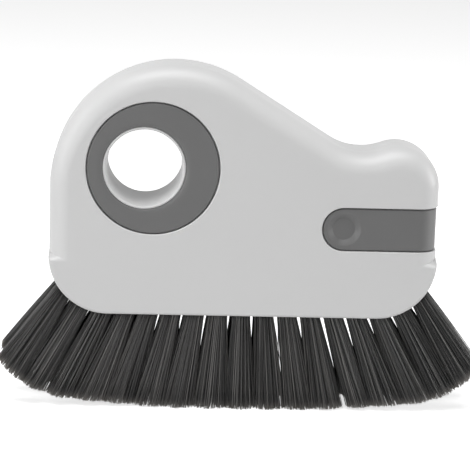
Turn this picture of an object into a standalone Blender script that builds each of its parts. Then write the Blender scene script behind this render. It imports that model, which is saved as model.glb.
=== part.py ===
"""Groove cleaning brush: a palm-sized hand brush for window tracks and tile joints.

Metres, +Z up, and the brush stands on its bristle tips at z = 0. X runs along the brush and
-Y is its front. Two moulded half shells clamp a bristle block between them. A soft ring is let
into each face round the finger hole, and a soft strap wraps the narrow end. Two rows of
bristle tufts fan out of the block and round its corners.
"""

import math

import bmesh
import bpy
from mathutils import Matrix, Vector

# Body outline, seen from the front
BODY_LENGTH = 0.1262
BODY_HEIGHT = 0.0814
BODY_THICKNESS = 0.0258
ARCH_RADIUS = 0.0403
SLOPE_ANGLE = 31.7
SADDLE_RADIUS = 0.0193
KNOB_RADIUS = 0.0133
KNOB_HEIGHT = 0.0565
CORNER_RADIUS = 0.0193

# Edge rounding: full on the top and sides, and crisp below a slanting shelf on both corners. The
# shelf's height is where its plane meets the face, and its front edge is rounded off
EDGE_RADIUS = 0.0067
LOWER_EDGE_RADIUS = 0.001
SHELF_HEIGHT = 0.0186
SHELF_SLANT = 0.24
SHELF_EDGE_RADIUS = 0.0014

# Moulding
WALL = 0.0022
CLEARANCE = 0.0003
FLOOR_THICKNESS = 0.002
BACKING = 0.0016
OVERCUT = 0.002

# Finger hole, narrowest at the parting plane
HOLE_FROM_LEFT = 0.0305
HOLE_ABOVE_UNDERSIDE = 0.0485
HOLE_LIP_RADIUS = 0.0134
HOLE_WAIST_RADIUS = 0.0120
HOLE_LIP_WALL = 0.0009
HOLE_LIP_DROP = 0.0007

# Soft ring round the hole, whose outer circle is off centre from the hole
RING_RADIUS = 0.0213
RING_OFFSET = 0.0028
RING_THICKNESS = 0.0018
RING_SINK = 0.0002
RING_ROLL_RADIUS = 0.0012
RING_EDGE_BEVEL = 0.0003

# Soft strap round the narrow end, with a finger dimple and a locating stud on each arm
STRAP_WIDTH = 0.0138
DIMPLE_FROM_END = 0.0308
STRAP_ABOVE_UNDERSIDE = 0.0298
STRAP_THICKNESS = 0.0018
STRAP_SINK = 0.0004
DIMPLE_RADIUS = 0.0057
DIMPLE_FLOOR_RADIUS = 0.0036
DIMPLE_DEPTH = 0.0010
STUD_RADIUS = 0.0026
STUD_LENGTH = 0.0034

# Pegs of the front shell and their sockets in the rear shell, as (x from the left end, height
# above the underside), or with x from the right end where it is negative
PEG_RADIUS = 0.0020
PEG_LENGTH = 0.0050
BOSS_WALL = 0.0015
PEG_PLACES = ((0.0131, 0.0260), (0.0611, 0.0610), (-0.0191, 0.0440), (-0.0511, 0.0240), (-0.0131, 0.0205))

# Bristle block, held by a rail of each shell in a groove of the block
BLOCK_HEIGHT = 0.015
RAIL_HEIGHT = 0.0018
RAIL_DEPTH = 0.0010
RAIL_ABOVE_UNDERSIDE = 0.0098

# Bristle tufts. The middle ones are trimmed flat by the trim depth, where the brush stands. The
# outer ones stand round the corner by the row end turn and lean outwards by the fan angle
BRISTLE_LENGTH = 0.033
TRIM_DEPTH = 0.0005
TUFTS_PER_ROW = 17
ROW_END_TURN = 48.1
FAN_ANGLE = 33.6
TUFT_RADIUS = 0.0028
TUFT_HOLE_DEPTH = 0.006
ROW_SPACING = 0.0104
ROW_TILT = 3.0
TUFT_SPREAD = 1.62
STRAND_RADIUS = 0.00044
STRAND_TIP_RADIUS = 0.00034
INNER_STRANDS = 3
OUTER_STRANDS = 9
INNER_STRAND_SHARE = 0.33
OUTER_STRAND_SHARE = 0.78

# Smoothness
ARCH_STEPS = 20
SADDLE_STEPS = 8
KNOB_STEPS = 11
CORNER_STEPS = 9
SHELF_STEPS = 3
EDGE_STEPS = 5
CIRCLE_STEPS = 40
SMALL_CIRCLE_STEPS = 16
TUFT_SIDES = 12
STRAND_SIDES = 3

UNDERSIDE = BRISTLE_LENGTH - TRIM_DEPTH
LEFT = -BODY_LENGTH / 2
RIGHT = BODY_LENGTH / 2
TOP = UNDERSIDE + BODY_HEIGHT
FACE = BODY_THICKNESS / 2
CORNER_TOP = UNDERSIDE + CORNER_RADIUS
BLOCK_TOP = UNDERSIDE + BLOCK_HEIGHT
BLOCK_HALF_WIDTH = FACE - WALL - CLEARANCE
FLOOR_TOP = BLOCK_TOP + CLEARANCE + FLOOR_THICKNESS
HOLE = Vector((LEFT + HOLE_FROM_LEFT, UNDERSIDE + HOLE_ABOVE_UNDERSIDE))
RING = HOLE + Vector((RING_OFFSET, 0.0))
STRAP_Z = UNDERSIDE + STRAP_ABOVE_UNDERSIDE
DIMPLE_X = RIGHT - DIMPLE_FROM_END
RING_RECESS = RING_SINK + RING_THICKNESS + CLEARANCE
STRAP_RECESS = STRAP_SINK + STRAP_THICKNESS + CLEARANCE
BOSS_RADIUS = PEG_RADIUS + CLEARANCE + BOSS_WALL
ROW_FLAT = BODY_LENGTH / 2 - CORNER_RADIUS
ROW_HALF = ROW_FLAT + CORNER_RADIUS * math.radians(ROW_END_TURN)
FRONT = -1
REAR = 1


def clear_scene():
    for obj in list(bpy.data.objects):
        bpy.data.objects.remove(obj)


def make_material(name, colour, roughness):
    material = bpy.data.materials.new(name)
    material.use_nodes = True
    shader = material.node_tree.nodes["Principled BSDF"]
    shader.inputs["Base Color"].default_value = (*colour, 1.0)
    shader.inputs["Roughness"].default_value = roughness
    shader.inputs["Metallic"].default_value = 0.0
    material.diffuse_color = (*colour, 1.0)
    return material


def add_object(name, mesh, material=None):
    """Closes a bmesh into a named object with its faces pointing out."""
    bmesh.ops.recalc_face_normals(mesh, faces=mesh.faces)
    data = bpy.data.meshes.new(name)
    mesh.to_mesh(data)
    mesh.free()
    obj = bpy.data.objects.new(name, data)
    bpy.context.scene.collection.objects.link(obj)
    if material:
        data.materials.append(material)
        data.shade_smooth()
        data.set_sharp_from_angle(angle=math.radians(30))
    return obj


def as_cutter(obj):
    obj.hide_render = True
    obj.display_type = "WIRE"
    return obj


def combine(obj, other, operation):
    modifier = obj.modifiers.new(other.name, "BOOLEAN")
    modifier.operation = operation
    modifier.solver = "EXACT"
    modifier.object = as_cutter(other)


def cut(obj, *cutters):
    for cutter in cutters:
        combine(obj, cutter, "DIFFERENCE")


def box(name, low, high):
    mesh = bmesh.new()
    bmesh.ops.create_cube(mesh, size=1.0)
    size = Vector(high) - Vector(low)
    middle = (Vector(high) + Vector(low)) / 2
    bmesh.ops.transform(mesh, verts=mesh.verts, matrix=Matrix.Translation(middle) @ Matrix.Diagonal((*size, 1.0)))
    return add_object(name, mesh)


def loft(rings):
    """A closed bmesh through rings of as many points each, with a flat cap at both ends."""
    mesh = bmesh.new()
    rows = [[mesh.verts.new(point) for point in ring] for ring in rings]
    for lower, upper in zip(rows, rows[1:]):
        for i in range(len(lower)):
            j = (i + 1) % len(lower)
            mesh.faces.new((lower[i], lower[j], upper[j], upper[i]))
    mesh.faces.new(rows[0])
    mesh.faces.new(reversed(rows[-1]))
    return mesh


def turned(name, centre, side, profile, steps, material=None):
    """A solid turned about the Y axis through centre (x, z). The profile lists (radius, depth)."""
    turns = [2 * math.pi * i / steps for i in range(steps)]
    rings = [
        [Vector((centre.x + radius * math.cos(a), side * depth, centre.y + radius * math.sin(a))) for a in turns]
        for radius, depth in profile
    ]
    return add_object(name, loft(rings), material)


def prism(name, outline, start, stop, material=None):
    """An outline of (x, z) points extruded along Y."""
    rings = [[Vector((p.x, y, p.y)) for p in outline] for y in (start, stop)]
    return add_object(name, loft(rings), material)


def direction(degrees):
    return Vector((math.cos(math.radians(degrees)), math.sin(math.radians(degrees))))


def arc(centre, radius, start, stop, steps, outside=1):
    """(point, outward normal) pairs along an arc. outside is -1 where the body lies outside the circle."""
    found = []
    for i in range(steps + 1):
        ray = direction(start + (stop - start) * i / steps)
        found.append((centre + radius * ray, outside * ray))
    return found


def saddle_centre(knob):
    """Centre of the hollow that touches both the sloping line and the knob's circle."""
    arch = Vector((LEFT + ARCH_RADIUS, TOP - ARCH_RADIUS))
    normal = direction(90 - SLOPE_ANGLE)
    along = Vector((normal.y, -normal.x))
    start = arch + (ARCH_RADIUS + SADDLE_RADIUS) * normal
    to_knob = knob - start
    reach = SADDLE_RADIUS + KNOB_RADIUS
    back = math.sqrt(reach**2 - to_knob.dot(normal) ** 2)
    return start + (to_knob.dot(along) - back) * along


def upper_outline():
    """The arch, slope, saddle and knob as (point, outward normal) pairs, from left to right."""
    arch = Vector((LEFT + ARCH_RADIUS, TOP - ARCH_RADIUS))
    knob = Vector((RIGHT - KNOB_RADIUS, UNDERSIDE + KNOB_HEIGHT - KNOB_RADIUS))
    saddle = saddle_centre(knob)
    to_saddle = saddle - knob
    meeting = math.degrees(math.atan2(to_saddle.y, to_saddle.x))
    line_normal = 90 - SLOPE_ANGLE
    outline = arc(arch, ARCH_RADIUS, 180, line_normal, ARCH_STEPS)
    outline += arc(saddle, SADDLE_RADIUS, line_normal + 180, meeting + 180, SADDLE_STEPS, outside=-1)[:-1]
    return outline + arc(knob, KNOB_RADIUS, meeting, 0, KNOB_STEPS)


def corner_arc(crisp_below):
    """The lower left corner from the underside up to an angle below level, as (point, normal) pairs."""
    centre = Vector((LEFT + CORNER_RADIUS, CORNER_TOP))
    return arc(centre, CORNER_RADIUS, -90, crisp_below - 180, CORNER_STEPS)


def mirrored(pairs):
    """The same (point, normal) pairs on the right of the body, in the opposite order."""
    flip = Vector((-1.0, 1.0))
    return [(point * flip, normal * flip) for point, normal in reversed(pairs)]


def below_level(height, drawn):
    """The angle below level on a corner's arc at which the outline drawn in has this height."""
    return math.degrees(math.asin((CORNER_RADIUS - height) / (CORNER_RADIUS - drawn)))


def side_point(height, drawn):
    """The (point, normal) pair on the left side whose place, once drawn in, has this height."""
    if height >= CORNER_RADIUS:
        return Vector((LEFT, UNDERSIDE + height)), Vector((-1.0, 0.0))
    ray = direction(180 + below_level(height, drawn))
    return Vector((LEFT + CORNER_RADIUS, CORNER_TOP)) + CORNER_RADIUS * ray, ray


def shelf_height(below, inset):
    """Height of the shelf above the underside at a depth below the face."""
    edge = max(SHELF_EDGE_RADIUS - inset, 0.0)
    short = edge - min(below, edge)
    return SHELF_HEIGHT - inset + SHELF_SLANT * below - (edge - math.sqrt(edge**2 - short**2))


def half_solid(name, side, inset, start, face, material=None):
    """Half of the body from depth start to its rounded face, drawn in by inset all round."""
    radii = [max(radius - inset, CLEARANCE) for radius in (LOWER_EDGE_RADIUS, EDGE_RADIUS)]
    rings = []
    for step in range(-1, EDGE_STEPS + 1):
        turn = math.pi / 2 * max(step, 0) / EDGE_STEPS
        drawn_in = [inset + radius * (1 - math.cos(turn)) for radius in radii]
        below_face = [radius * (1 - math.sin(turn)) for radius in radii]
        crisp_top, rounded_low = [shelf_height(below, inset) for below in below_face]
        corner = corner_arc(below_level(crisp_top, drawn_in[0]))
        climb = SHELF_HEIGHT + EDGE_RADIUS - rounded_low
        rise = [side_point(rounded_low + climb * i / SHELF_STEPS, drawn_in[1]) for i in range(SHELF_STEPS + 1)]
        over_top = rise + upper_outline() + mirrored(rise)
        ring = []
        for pairs, kind in ((corner, 0), (over_top, 1), (mirrored(corner), 0)):
            depth = start if step < 0 else face - below_face[kind]
            drawn = drawn_in[kind]
            ring += [Vector((p.x - drawn * n.x, side * depth, p.y - drawn * n.y)) for p, n in pairs]
        rings.append(ring)
    return add_object(name, loft(rings), material)


def end_contour(inset, start_x):
    """The body's narrow end cut across at strap height, as (x, y) points from front to rear."""
    radius = EDGE_RADIUS - inset
    points = [Vector((start_x, -(FACE - inset)))]
    for sign, first in ((-1, -90), (1, 0)):
        centre = Vector((RIGHT - EDGE_RADIUS, sign * (FACE - EDGE_RADIUS)))
        points += [centre + radius * direction(first + 90 * i / EDGE_STEPS) for i in range(EDGE_STEPS + 1)]
    points.append(Vector((start_x, FACE - inset)))
    return points


def upright(name, outline, low, high):
    """An outline of (x, y) points extruded along Z."""
    rings = [[Vector((p.x, p.y, z)) for p in outline] for z in (low, high)]
    return add_object(name, loft(rings))


def strap_window(name, grow):
    """The strap's outline seen from the front, open past the narrow end, as a prism through the body."""
    radius = STRAP_WIDTH / 2 + grow
    centre = Vector((DIMPLE_X, STRAP_Z))
    rounded = [centre + radius * direction(90 + 180 * i / SMALL_CIRCLE_STEPS) for i in range(SMALL_CIRCLE_STEPS + 1)]
    beyond = RIGHT + OVERCUT
    square = [Vector((beyond, STRAP_Z - radius)), Vector((beyond, STRAP_Z + radius))]
    return prism(name, rounded + square, -FACE - OVERCUT, FACE + OVERCUT)


def strap_zone(name, grow, keep_inset):
    """The strap window, less the body's core keep_inset below the surface."""
    zone = strap_window(name, grow)
    start = DIMPLE_X - STRAP_WIDTH
    core = upright(name + "_core", end_contour(keep_inset, start), STRAP_Z - STRAP_WIDTH, STRAP_Z + STRAP_WIDTH)
    cut(zone, core)
    return zone


def add_strap(material):
    """A U-shaped band that follows the rounded end, with a dimple and a stud on each arm."""
    outer = end_contour(STRAP_SINK, DIMPLE_X - STRAP_WIDTH)
    inner = end_contour(STRAP_SINK + STRAP_THICKNESS, DIMPLE_X - STRAP_WIDTH)
    half_width = STRAP_WIDTH / 2
    mesh = loft([
        [Vector((p.x, p.y, z)) for p in outer + inner[::-1]]
        for z in (STRAP_Z - half_width - OVERCUT, STRAP_Z + half_width + OVERCUT)
    ])
    strap = add_object("grip_strap", mesh, material)
    combine(strap, strap_window("strap_outline", 0.0), "INTERSECT")
    centre = Vector((DIMPLE_X, STRAP_Z))
    surface = FACE - STRAP_SINK
    slope = (DIMPLE_RADIUS - DIMPLE_FLOOR_RADIUS) / DIMPLE_DEPTH
    for side, word in ((FRONT, "front"), (REAR, "rear")):
        stud_profile = [(STUD_RADIUS, surface - STRAP_THICKNESS / 2)]
        stud_profile += [(STUD_RADIUS, surface - STRAP_THICKNESS - STUD_LENGTH)]
        stud = turned(f"strap_stud_{word}", centre, side, stud_profile, SMALL_CIRCLE_STEPS)
        combine(strap, stud, "UNION")
        dimple_profile = [(DIMPLE_FLOOR_RADIUS, surface - DIMPLE_DEPTH)]
        dimple_profile += [(DIMPLE_RADIUS + slope * OVERCUT, surface + OVERCUT)]
        cut(strap, turned(f"strap_dimple_{word}", centre, side, dimple_profile, CIRCLE_STEPS))


def add_ring(side, word, material):
    """A soft ring whose inner edge rolls over towards the finger hole."""
    surface = FACE - RING_SINK
    floor = surface - RING_THICKNESS
    radius = RING_RADIUS
    profile = [(radius, floor), (radius, surface - RING_EDGE_BEVEL), (radius - RING_EDGE_BEVEL, surface)]
    ring = turned(f"{word}_ring", RING, side, profile, CIRCLE_STEPS, material)
    bore = HOLE_LIP_RADIUS + CLEARANCE
    roll = [(bore, floor - OVERCUT)]
    for step in range(EDGE_STEPS + 1):
        turn = math.pi / 2 * step / EDGE_STEPS
        drawn = RING_ROLL_RADIUS * (1 - math.cos(turn))
        roll.append((bore + drawn, surface - RING_ROLL_RADIUS * (1 - math.sin(turn))))
    roll.append((bore + RING_ROLL_RADIUS, surface + OVERCUT))
    cut(ring, turned(f"{word}_ring_bore", HOLE, side, roll, CIRCLE_STEPS))


def ring_recess(side, word):
    """The seat of the soft ring, leaving the thin lip of the finger hole standing in it."""
    seat = [(RING_RADIUS + CLEARANCE, FACE - RING_RECESS), (RING_RADIUS + CLEARANCE, FACE + OVERCUT)]
    recess = turned(f"{word}_ring_recess", RING, side, seat, CIRCLE_STEPS)
    lip = [(HOLE_LIP_RADIUS, FACE - RING_RECESS - OVERCUT), (HOLE_LIP_RADIUS, FACE - HOLE_LIP_DROP)]
    cut(recess, turned(f"{word}_lip_guard", HOLE, side, lip, CIRCLE_STEPS))
    return recess


def finger_hole(side, word):
    """The drafted finger hole of one shell, from its waist at the parting plane out past the face."""
    lip_bore = HOLE_LIP_RADIUS - HOLE_LIP_WALL
    waist_slope = (lip_bore - HOLE_WAIST_RADIUS) / (FACE - HOLE_LIP_DROP)
    lip_depth = FACE - HOLE_LIP_DROP
    profile = [
        (HOLE_WAIST_RADIUS - waist_slope * OVERCUT, -OVERCUT),
        (lip_bore - waist_slope * HOLE_LIP_WALL, lip_depth - HOLE_LIP_WALL),
        (HOLE_LIP_RADIUS - HOLE_LIP_WALL / 2, lip_depth + OVERCUT),
    ]
    return turned(f"{word}_finger_hole", HOLE, side, profile, CIRCLE_STEPS)


def peg_centres():
    """The pegs' axes as (x, z)."""
    return [Vector(((LEFT if x > 0 else RIGHT) + x, UNDERSIDE + height)) for x, height in PEG_PLACES]


def shell_core(side, word):
    """What is left out of a shell's inside: the hollow less its floor, tube, backings and bosses."""
    core = half_solid(f"{word}_core", side, WALL, -OVERCUT, FACE - WALL)
    below = (LEFT - OVERCUT, -BODY_THICKNESS, 0.0)
    floor = box(f"{word}_floor", below, (RIGHT + OVERCUT, BODY_THICKNESS, FLOOR_TOP))
    tube_radius = HOLE_LIP_RADIUS + WALL
    tube = turned(f"{word}_tube", HOLE, side, [(tube_radius, -2 * OVERCUT), (tube_radius, FACE)], CIRCLE_STEPS)
    back = [(RING_RADIUS + WALL, FACE - RING_RECESS - BACKING), (RING_RADIUS + WALL, FACE)]
    backing = turned(f"{word}_ring_backing", RING, side, back, CIRCLE_STEPS)
    strap_backing = strap_zone(f"{word}_strap_backing", WALL, STRAP_RECESS + BACKING)
    cut(core, floor, tube, backing, strap_backing)
    for number, centre in enumerate(peg_centres(), 1):
        boss = [(BOSS_RADIUS, -2 * OVERCUT), (BOSS_RADIUS, FACE)]
        cut(core, turned(f"{word}_boss_{number}", centre, side, boss, SMALL_CIRCLE_STEPS))
    return core


def add_rail(shell, side, word):
    """The rail on the shell's inner face that keys into the block's groove."""
    low = UNDERSIDE + RAIL_ABOVE_UNDERSIDE
    ends = sorted((side * (FACE - WALL - RAIL_DEPTH), side * (FACE - WALL / 2)))
    far = (ROW_FLAT, ends[1], low + RAIL_HEIGHT)
    combine(shell, box(f"{word}_rail", (-ROW_FLAT, ends[0], low), far), "UNION")


def add_shell(side, word, material):
    parting = CLEARANCE / 2
    shell = half_solid(f"{word}_shell", side, 0.0, parting, FACE, material)
    cut(shell, shell_core(side, word))
    ends = sorted((-side * OVERCUT, side * (FACE - WALL)))
    near = (LEFT - OVERCUT, ends[0], 0.0)
    cut(shell, box(f"{word}_block_pocket", near, (RIGHT + OVERCUT, ends[1], BLOCK_TOP + CLEARANCE)))
    add_rail(shell, side, word)
    cut(shell, ring_recess(side, word), finger_hole(side, word))
    cut(shell, strap_zone(f"{word}_strap_recess", CLEARANCE, STRAP_RECESS))
    stud_hole = [(STUD_RADIUS + CLEARANCE, FACE - STRAP_RECESS - BACKING - OVERCUT)]
    stud_hole += [(STUD_RADIUS + CLEARANCE, FACE)]
    cut(shell, turned(f"{word}_stud_hole", Vector((DIMPLE_X, STRAP_Z)), side, stud_hole, SMALL_CIRCLE_STEPS))
    for number, centre in enumerate(peg_centres(), 1):
        if side == FRONT:
            peg = [(PEG_RADIUS, WALL), (PEG_RADIUS, -PEG_LENGTH + PEG_RADIUS / 2), (PEG_RADIUS / 2, -PEG_LENGTH)]
            combine(shell, turned(f"peg_{number}", centre, side, peg, SMALL_CIRCLE_STEPS), "UNION")
        else:
            socket = [(PEG_RADIUS + CLEARANCE, -OVERCUT), (PEG_RADIUS + CLEARANCE, PEG_LENGTH + CLEARANCE)]
            cut(shell, turned(f"socket_{number}", centre, side, socket, SMALL_CIRCLE_STEPS))


def row_place(distance):
    """The point (x, z) on the block's lower surface at this distance along it from its middle."""
    turn = max(0.0, abs(distance) - ROW_FLAT) / CORNER_RADIUS
    x = min(abs(distance), ROW_FLAT) + CORNER_RADIUS * math.sin(turn)
    return Vector((math.copysign(x, distance), UNDERSIDE + CORNER_RADIUS * (1 - math.cos(turn))))


def tuft_frame(number, side):
    """Placement of a tuft: origin on the block's surface and +Z out along the bristles."""
    share = 2 * number / (TUFTS_PER_ROW - 1) - 1
    point = row_place(ROW_HALF * share)
    fan = math.radians(FAN_ANGLE * share)
    tilt = math.tan(math.radians(ROW_TILT))
    out = Vector((math.sin(fan), side * tilt, -math.cos(fan))).normalized()
    across = Vector((0.0, 1.0, 0.0)).cross(out).normalized()
    rotation = Matrix((across, out.cross(across), out)).transposed().to_4x4()
    return Matrix.Translation((point.x, side * ROW_SPACING / 2, point.y)) @ rotation


def trimmed(start, along):
    """The end of a bristle edge: the bristle length from its start, or at the ground."""
    heading = along.normalized()
    reach = min(BRISTLE_LENGTH, -start.z / heading.z)
    return start + heading * reach


def strand_places():
    """Roots of the strands in a tuft, as (x, y) in its own frame: an inner and an outer circle."""
    places = []
    for count, share in ((INNER_STRANDS, INNER_STRAND_SHARE), (OUTER_STRANDS, OUTER_STRAND_SHARE)):
        places += [share * TUFT_RADIUS * direction(360 * i / count) for i in range(count)]
    return places


def add_strand(mesh, root, frame):
    """Builds one strand from its root on the tuft's cap to the trim. Returns its root's edges."""
    corners = [direction(360 * i / STRAND_SIDES) for i in range(STRAND_SIDES)]
    low = [mesh.verts.new(frame @ Vector((*(root + STRAND_RADIUS * c), 0.0))) for c in corners]
    tips = []
    for corner in corners:
        start = frame @ Vector((*(root + STRAND_TIP_RADIUS * corner), 0.0))
        splayed = TUFT_SPREAD * root + STRAND_TIP_RADIUS * corner
        end = frame @ Vector((*splayed, BRISTLE_LENGTH))
        tips.append(mesh.verts.new(trimmed(start, end - start)))
    for i in range(STRAND_SIDES):
        j = (i + 1) % STRAND_SIDES
        mesh.faces.new((low[i], low[j], tips[j], tips[i]))
    mesh.faces.new(reversed(tips))
    return [mesh.edges.get((low[i], low[(i + 1) % STRAND_SIDES])) for i in range(STRAND_SIDES)]


def add_tuft(name, frame, material):
    """A bundle packed into its hole, and the strands that stand out of it, as one closed body."""
    mesh = bmesh.new()
    rim = [direction(360 * i / TUFT_SIDES) * TUFT_RADIUS for i in range(TUFT_SIDES)]
    cap = [mesh.verts.new(frame @ Vector((p.x, p.y, 0.0))) for p in rim]
    foot = [mesh.verts.new(frame @ Vector((p.x, p.y, -TUFT_HOLE_DEPTH))) for p in rim]
    for i in range(TUFT_SIDES):
        j = (i + 1) % TUFT_SIDES
        mesh.faces.new((cap[i], cap[j], foot[j], foot[i]))
    mesh.faces.new(foot)
    edges = [mesh.edges.get((cap[i], cap[(i + 1) % TUFT_SIDES])) for i in range(TUFT_SIDES)]
    for root in strand_places():
        edges += add_strand(mesh, root, frame)
    normal = frame.to_3x3() @ Vector((0.0, 0.0, 1.0))
    bmesh.ops.triangle_fill(mesh, use_beauty=True, edges=edges, normal=normal)
    add_object(name, mesh, material)


def tuft_holes(frames):
    """All the blind tuft holes as one cutter."""
    mesh = bmesh.new()
    radius = TUFT_RADIUS + CLEARANCE
    depth = TUFT_HOLE_DEPTH + CLEARANCE + OVERCUT
    for frame in frames:
        place = frame @ Matrix.Translation((0.0, 0.0, OVERCUT - depth / 2))
        bmesh.ops.create_cone(
            mesh, cap_ends=True, segments=TUFT_SIDES, radius1=radius, radius2=radius, depth=depth,
            matrix=place,
        )
    return add_object("tuft_holes", mesh)


def add_block(frames, material):
    """The curved block that holds the tufts, with a groove along each face for the shells' rails."""
    corner = corner_arc(0.0)
    outline = [point for point, _ in corner + upper_outline() + mirrored(corner)]
    block = prism("bristle_block", outline, -BLOCK_HALF_WIDTH, BLOCK_HALF_WIDTH, material)
    low = (LEFT - OVERCUT, -BODY_THICKNESS, 0.0)
    combine(block, box("block_limit", low, (RIGHT + OVERCUT, BODY_THICKNESS, BLOCK_TOP)), "INTERSECT")
    groove_low = UNDERSIDE + RAIL_ABOVE_UNDERSIDE - CLEARANCE
    groove_high = UNDERSIDE + RAIL_ABOVE_UNDERSIDE + RAIL_HEIGHT + CLEARANCE
    floor = FACE - WALL - RAIL_DEPTH - CLEARANCE
    for side, word in ((FRONT, "front"), (REAR, "rear")):
        ends = sorted((side * floor, side * FACE))
        near = (LEFT - OVERCUT, ends[0], groove_low)
        cut(block, box(f"{word}_groove", near, (RIGHT + OVERCUT, ends[1], groove_high)))
    cut(block, tuft_holes(frames))


def main():
    clear_scene()
    white = make_material("white_plastic", (0.60, 0.60, 0.59), 0.42)
    grey = make_material("grey_rubber", (0.155, 0.155, 0.155), 0.6)
    nylon = make_material("bristle_nylon", (0.022, 0.021, 0.021), 0.45)
    for side, word in ((FRONT, "front"), (REAR, "rear")):
        add_shell(side, word, white)
        add_ring(side, word, grey)
    add_strap(grey)
    frames = {}
    for side, word in ((FRONT, "front"), (REAR, "rear")):
        for number in range(TUFTS_PER_ROW):
            frames[f"tuft_{word}_{number + 1:02d}"] = tuft_frame(number, side)
    add_block(frames.values(), white)
    for name, frame in frames.items():
        add_tuft(name, frame, nylon)


main()
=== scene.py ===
"""Dresses the groove cleaning brush for its portrait.

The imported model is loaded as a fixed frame. Every moulded piece gets a finer mesh with its real
edge roundings, every tuft gets its filaments, and each gets the finish of its real material.
The studio is a pale floor with soft light, and the camera looks at the front from a little above.
Sizes are in metres and angles in degrees, unless a name says otherwise.
"""

import logging
import math
import random
from collections.abc import Callable
from dataclasses import dataclass, field
from enum import Enum

import bmesh
import bpy
from mathutils import Matrix, Vector


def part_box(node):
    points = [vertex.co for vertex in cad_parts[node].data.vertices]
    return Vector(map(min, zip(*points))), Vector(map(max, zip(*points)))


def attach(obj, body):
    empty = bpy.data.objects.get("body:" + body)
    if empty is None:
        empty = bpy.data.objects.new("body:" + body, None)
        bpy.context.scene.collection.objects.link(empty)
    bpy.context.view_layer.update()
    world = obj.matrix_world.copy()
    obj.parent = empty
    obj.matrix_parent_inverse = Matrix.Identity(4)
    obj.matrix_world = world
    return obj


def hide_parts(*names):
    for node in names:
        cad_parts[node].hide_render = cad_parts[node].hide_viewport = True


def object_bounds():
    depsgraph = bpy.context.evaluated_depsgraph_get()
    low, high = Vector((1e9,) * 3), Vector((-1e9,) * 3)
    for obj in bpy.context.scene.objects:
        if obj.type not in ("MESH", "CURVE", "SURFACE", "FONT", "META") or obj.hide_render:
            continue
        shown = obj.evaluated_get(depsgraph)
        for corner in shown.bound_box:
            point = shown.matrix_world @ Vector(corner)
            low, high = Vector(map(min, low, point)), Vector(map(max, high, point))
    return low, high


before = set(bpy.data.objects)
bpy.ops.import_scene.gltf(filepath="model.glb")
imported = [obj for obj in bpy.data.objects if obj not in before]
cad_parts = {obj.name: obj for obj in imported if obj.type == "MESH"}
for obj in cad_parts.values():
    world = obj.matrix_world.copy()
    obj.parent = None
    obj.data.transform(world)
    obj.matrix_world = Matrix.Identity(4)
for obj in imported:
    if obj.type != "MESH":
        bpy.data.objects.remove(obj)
CAD_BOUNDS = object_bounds()
LOG = logging.getLogger("brush")

MM = 0.001
# A point this near to a rim counts as on it
NEAR = 0.00005
SMOOTH_ANGLE = math.radians(32)
FLAT_FACE_WEIGHT = 100
# The turn from one place in a tuft to the next that fills its circle evenly
GOLDEN_ANGLE = 137.508
# The points round a turned piece: a plain one, a wide one, and a peg or a stud
ROUND_STEPS, WIDE_ROUND_STEPS, SMALL_ROUND_STEPS = 96, 128, 32
BODY = "root"

# The Mix node's sockets for colours
MIX_FACTOR, MIX_LOW, MIX_HIGH, MIX_RESULT = 0, 6, 7, 2
WHITE = (1.0, 1.0, 1.0, 1.0)

Ring = list[Vector]
Outline = list[tuple[Vector, Vector]]
Span = tuple[float, float]
Turning = list[Span]


class Side(Enum):
    """The two halves of the brush, by the sign of their Y."""

    FRONT = -1
    REAR = 1

    @property
    def word(self) -> str:
        """The word in the names of this half's pieces."""
        return self.name.lower()


class Carving(Enum):
    """What a cutter does to a piece, with the Boolean's word for it."""

    TAKE_AWAY = "DIFFERENCE"
    KEEP_INSIDE = "INTERSECT"
    ADD = "UNION"


# Modelling by hand


def deselect_all() -> None:
    """Leaves nothing selected, so that an operator acts on one object alone."""
    for obj in bpy.context.selected_objects:
        obj.select_set(False)


def make_active(obj: bpy.types.Object) -> None:
    """Selects one object and makes it the active one.

    Args:
        obj: The object.
    """
    deselect_all()
    obj.select_set(True)
    bpy.context.view_layer.objects.active = obj


def close_up(obj: bpy.types.Object) -> None:
    """Turns the faces of the mesh in edit mode outwards and returns to object mode.

    Args:
        obj: The object whose mesh is in edit mode. Its place goes into its mesh.
    """
    bpy.ops.mesh.select_all(action="SELECT")
    bpy.ops.mesh.normals_make_consistent(inside=False)
    bpy.ops.object.mode_set(mode="OBJECT")
    make_active(obj)
    bpy.ops.object.transform_apply(location=True, rotation=True, scale=True)


def drawn_out(name: str, rings: list[Ring]) -> bpy.types.Object:
    """Extrudes a filled circle through a stack of rings, as a moulded form is drawn from its base.

    Args:
        name: The new object's name.
        rings: The stack's rings from base to crown, all with as many points.

    Returns:
        The closed object, at the origin, with its place in its mesh.
    """
    deselect_all()
    bpy.ops.mesh.primitive_circle_add(vertices=len(rings[0]), radius=1.0, fill_type="NGON")
    obj = bpy.context.object
    obj.name = obj.data.name = name
    order = obj.data.attributes.new("order", "INT", "POINT")
    order.data.foreach_set("value", list(range(len(rings[0]))))
    for vertex, point in zip(obj.data.vertices, rings[0]):
        vertex.co = point
    bpy.ops.object.mode_set(mode="EDIT")
    bpy.ops.mesh.select_all(action="SELECT")
    for ring in rings[1:]:
        bpy.ops.mesh.extrude_region_move()
        mesh = bmesh.from_edit_mesh(obj.data)
        layer = mesh.verts.layers.int["order"]
        for vertex in mesh.verts:
            if vertex.select:
                vertex.co = ring[vertex[layer]]
        bmesh.update_edit_mesh(obj.data)
    close_up(obj)
    obj.data.attributes.remove(obj.data.attributes["order"])
    return obj


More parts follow.
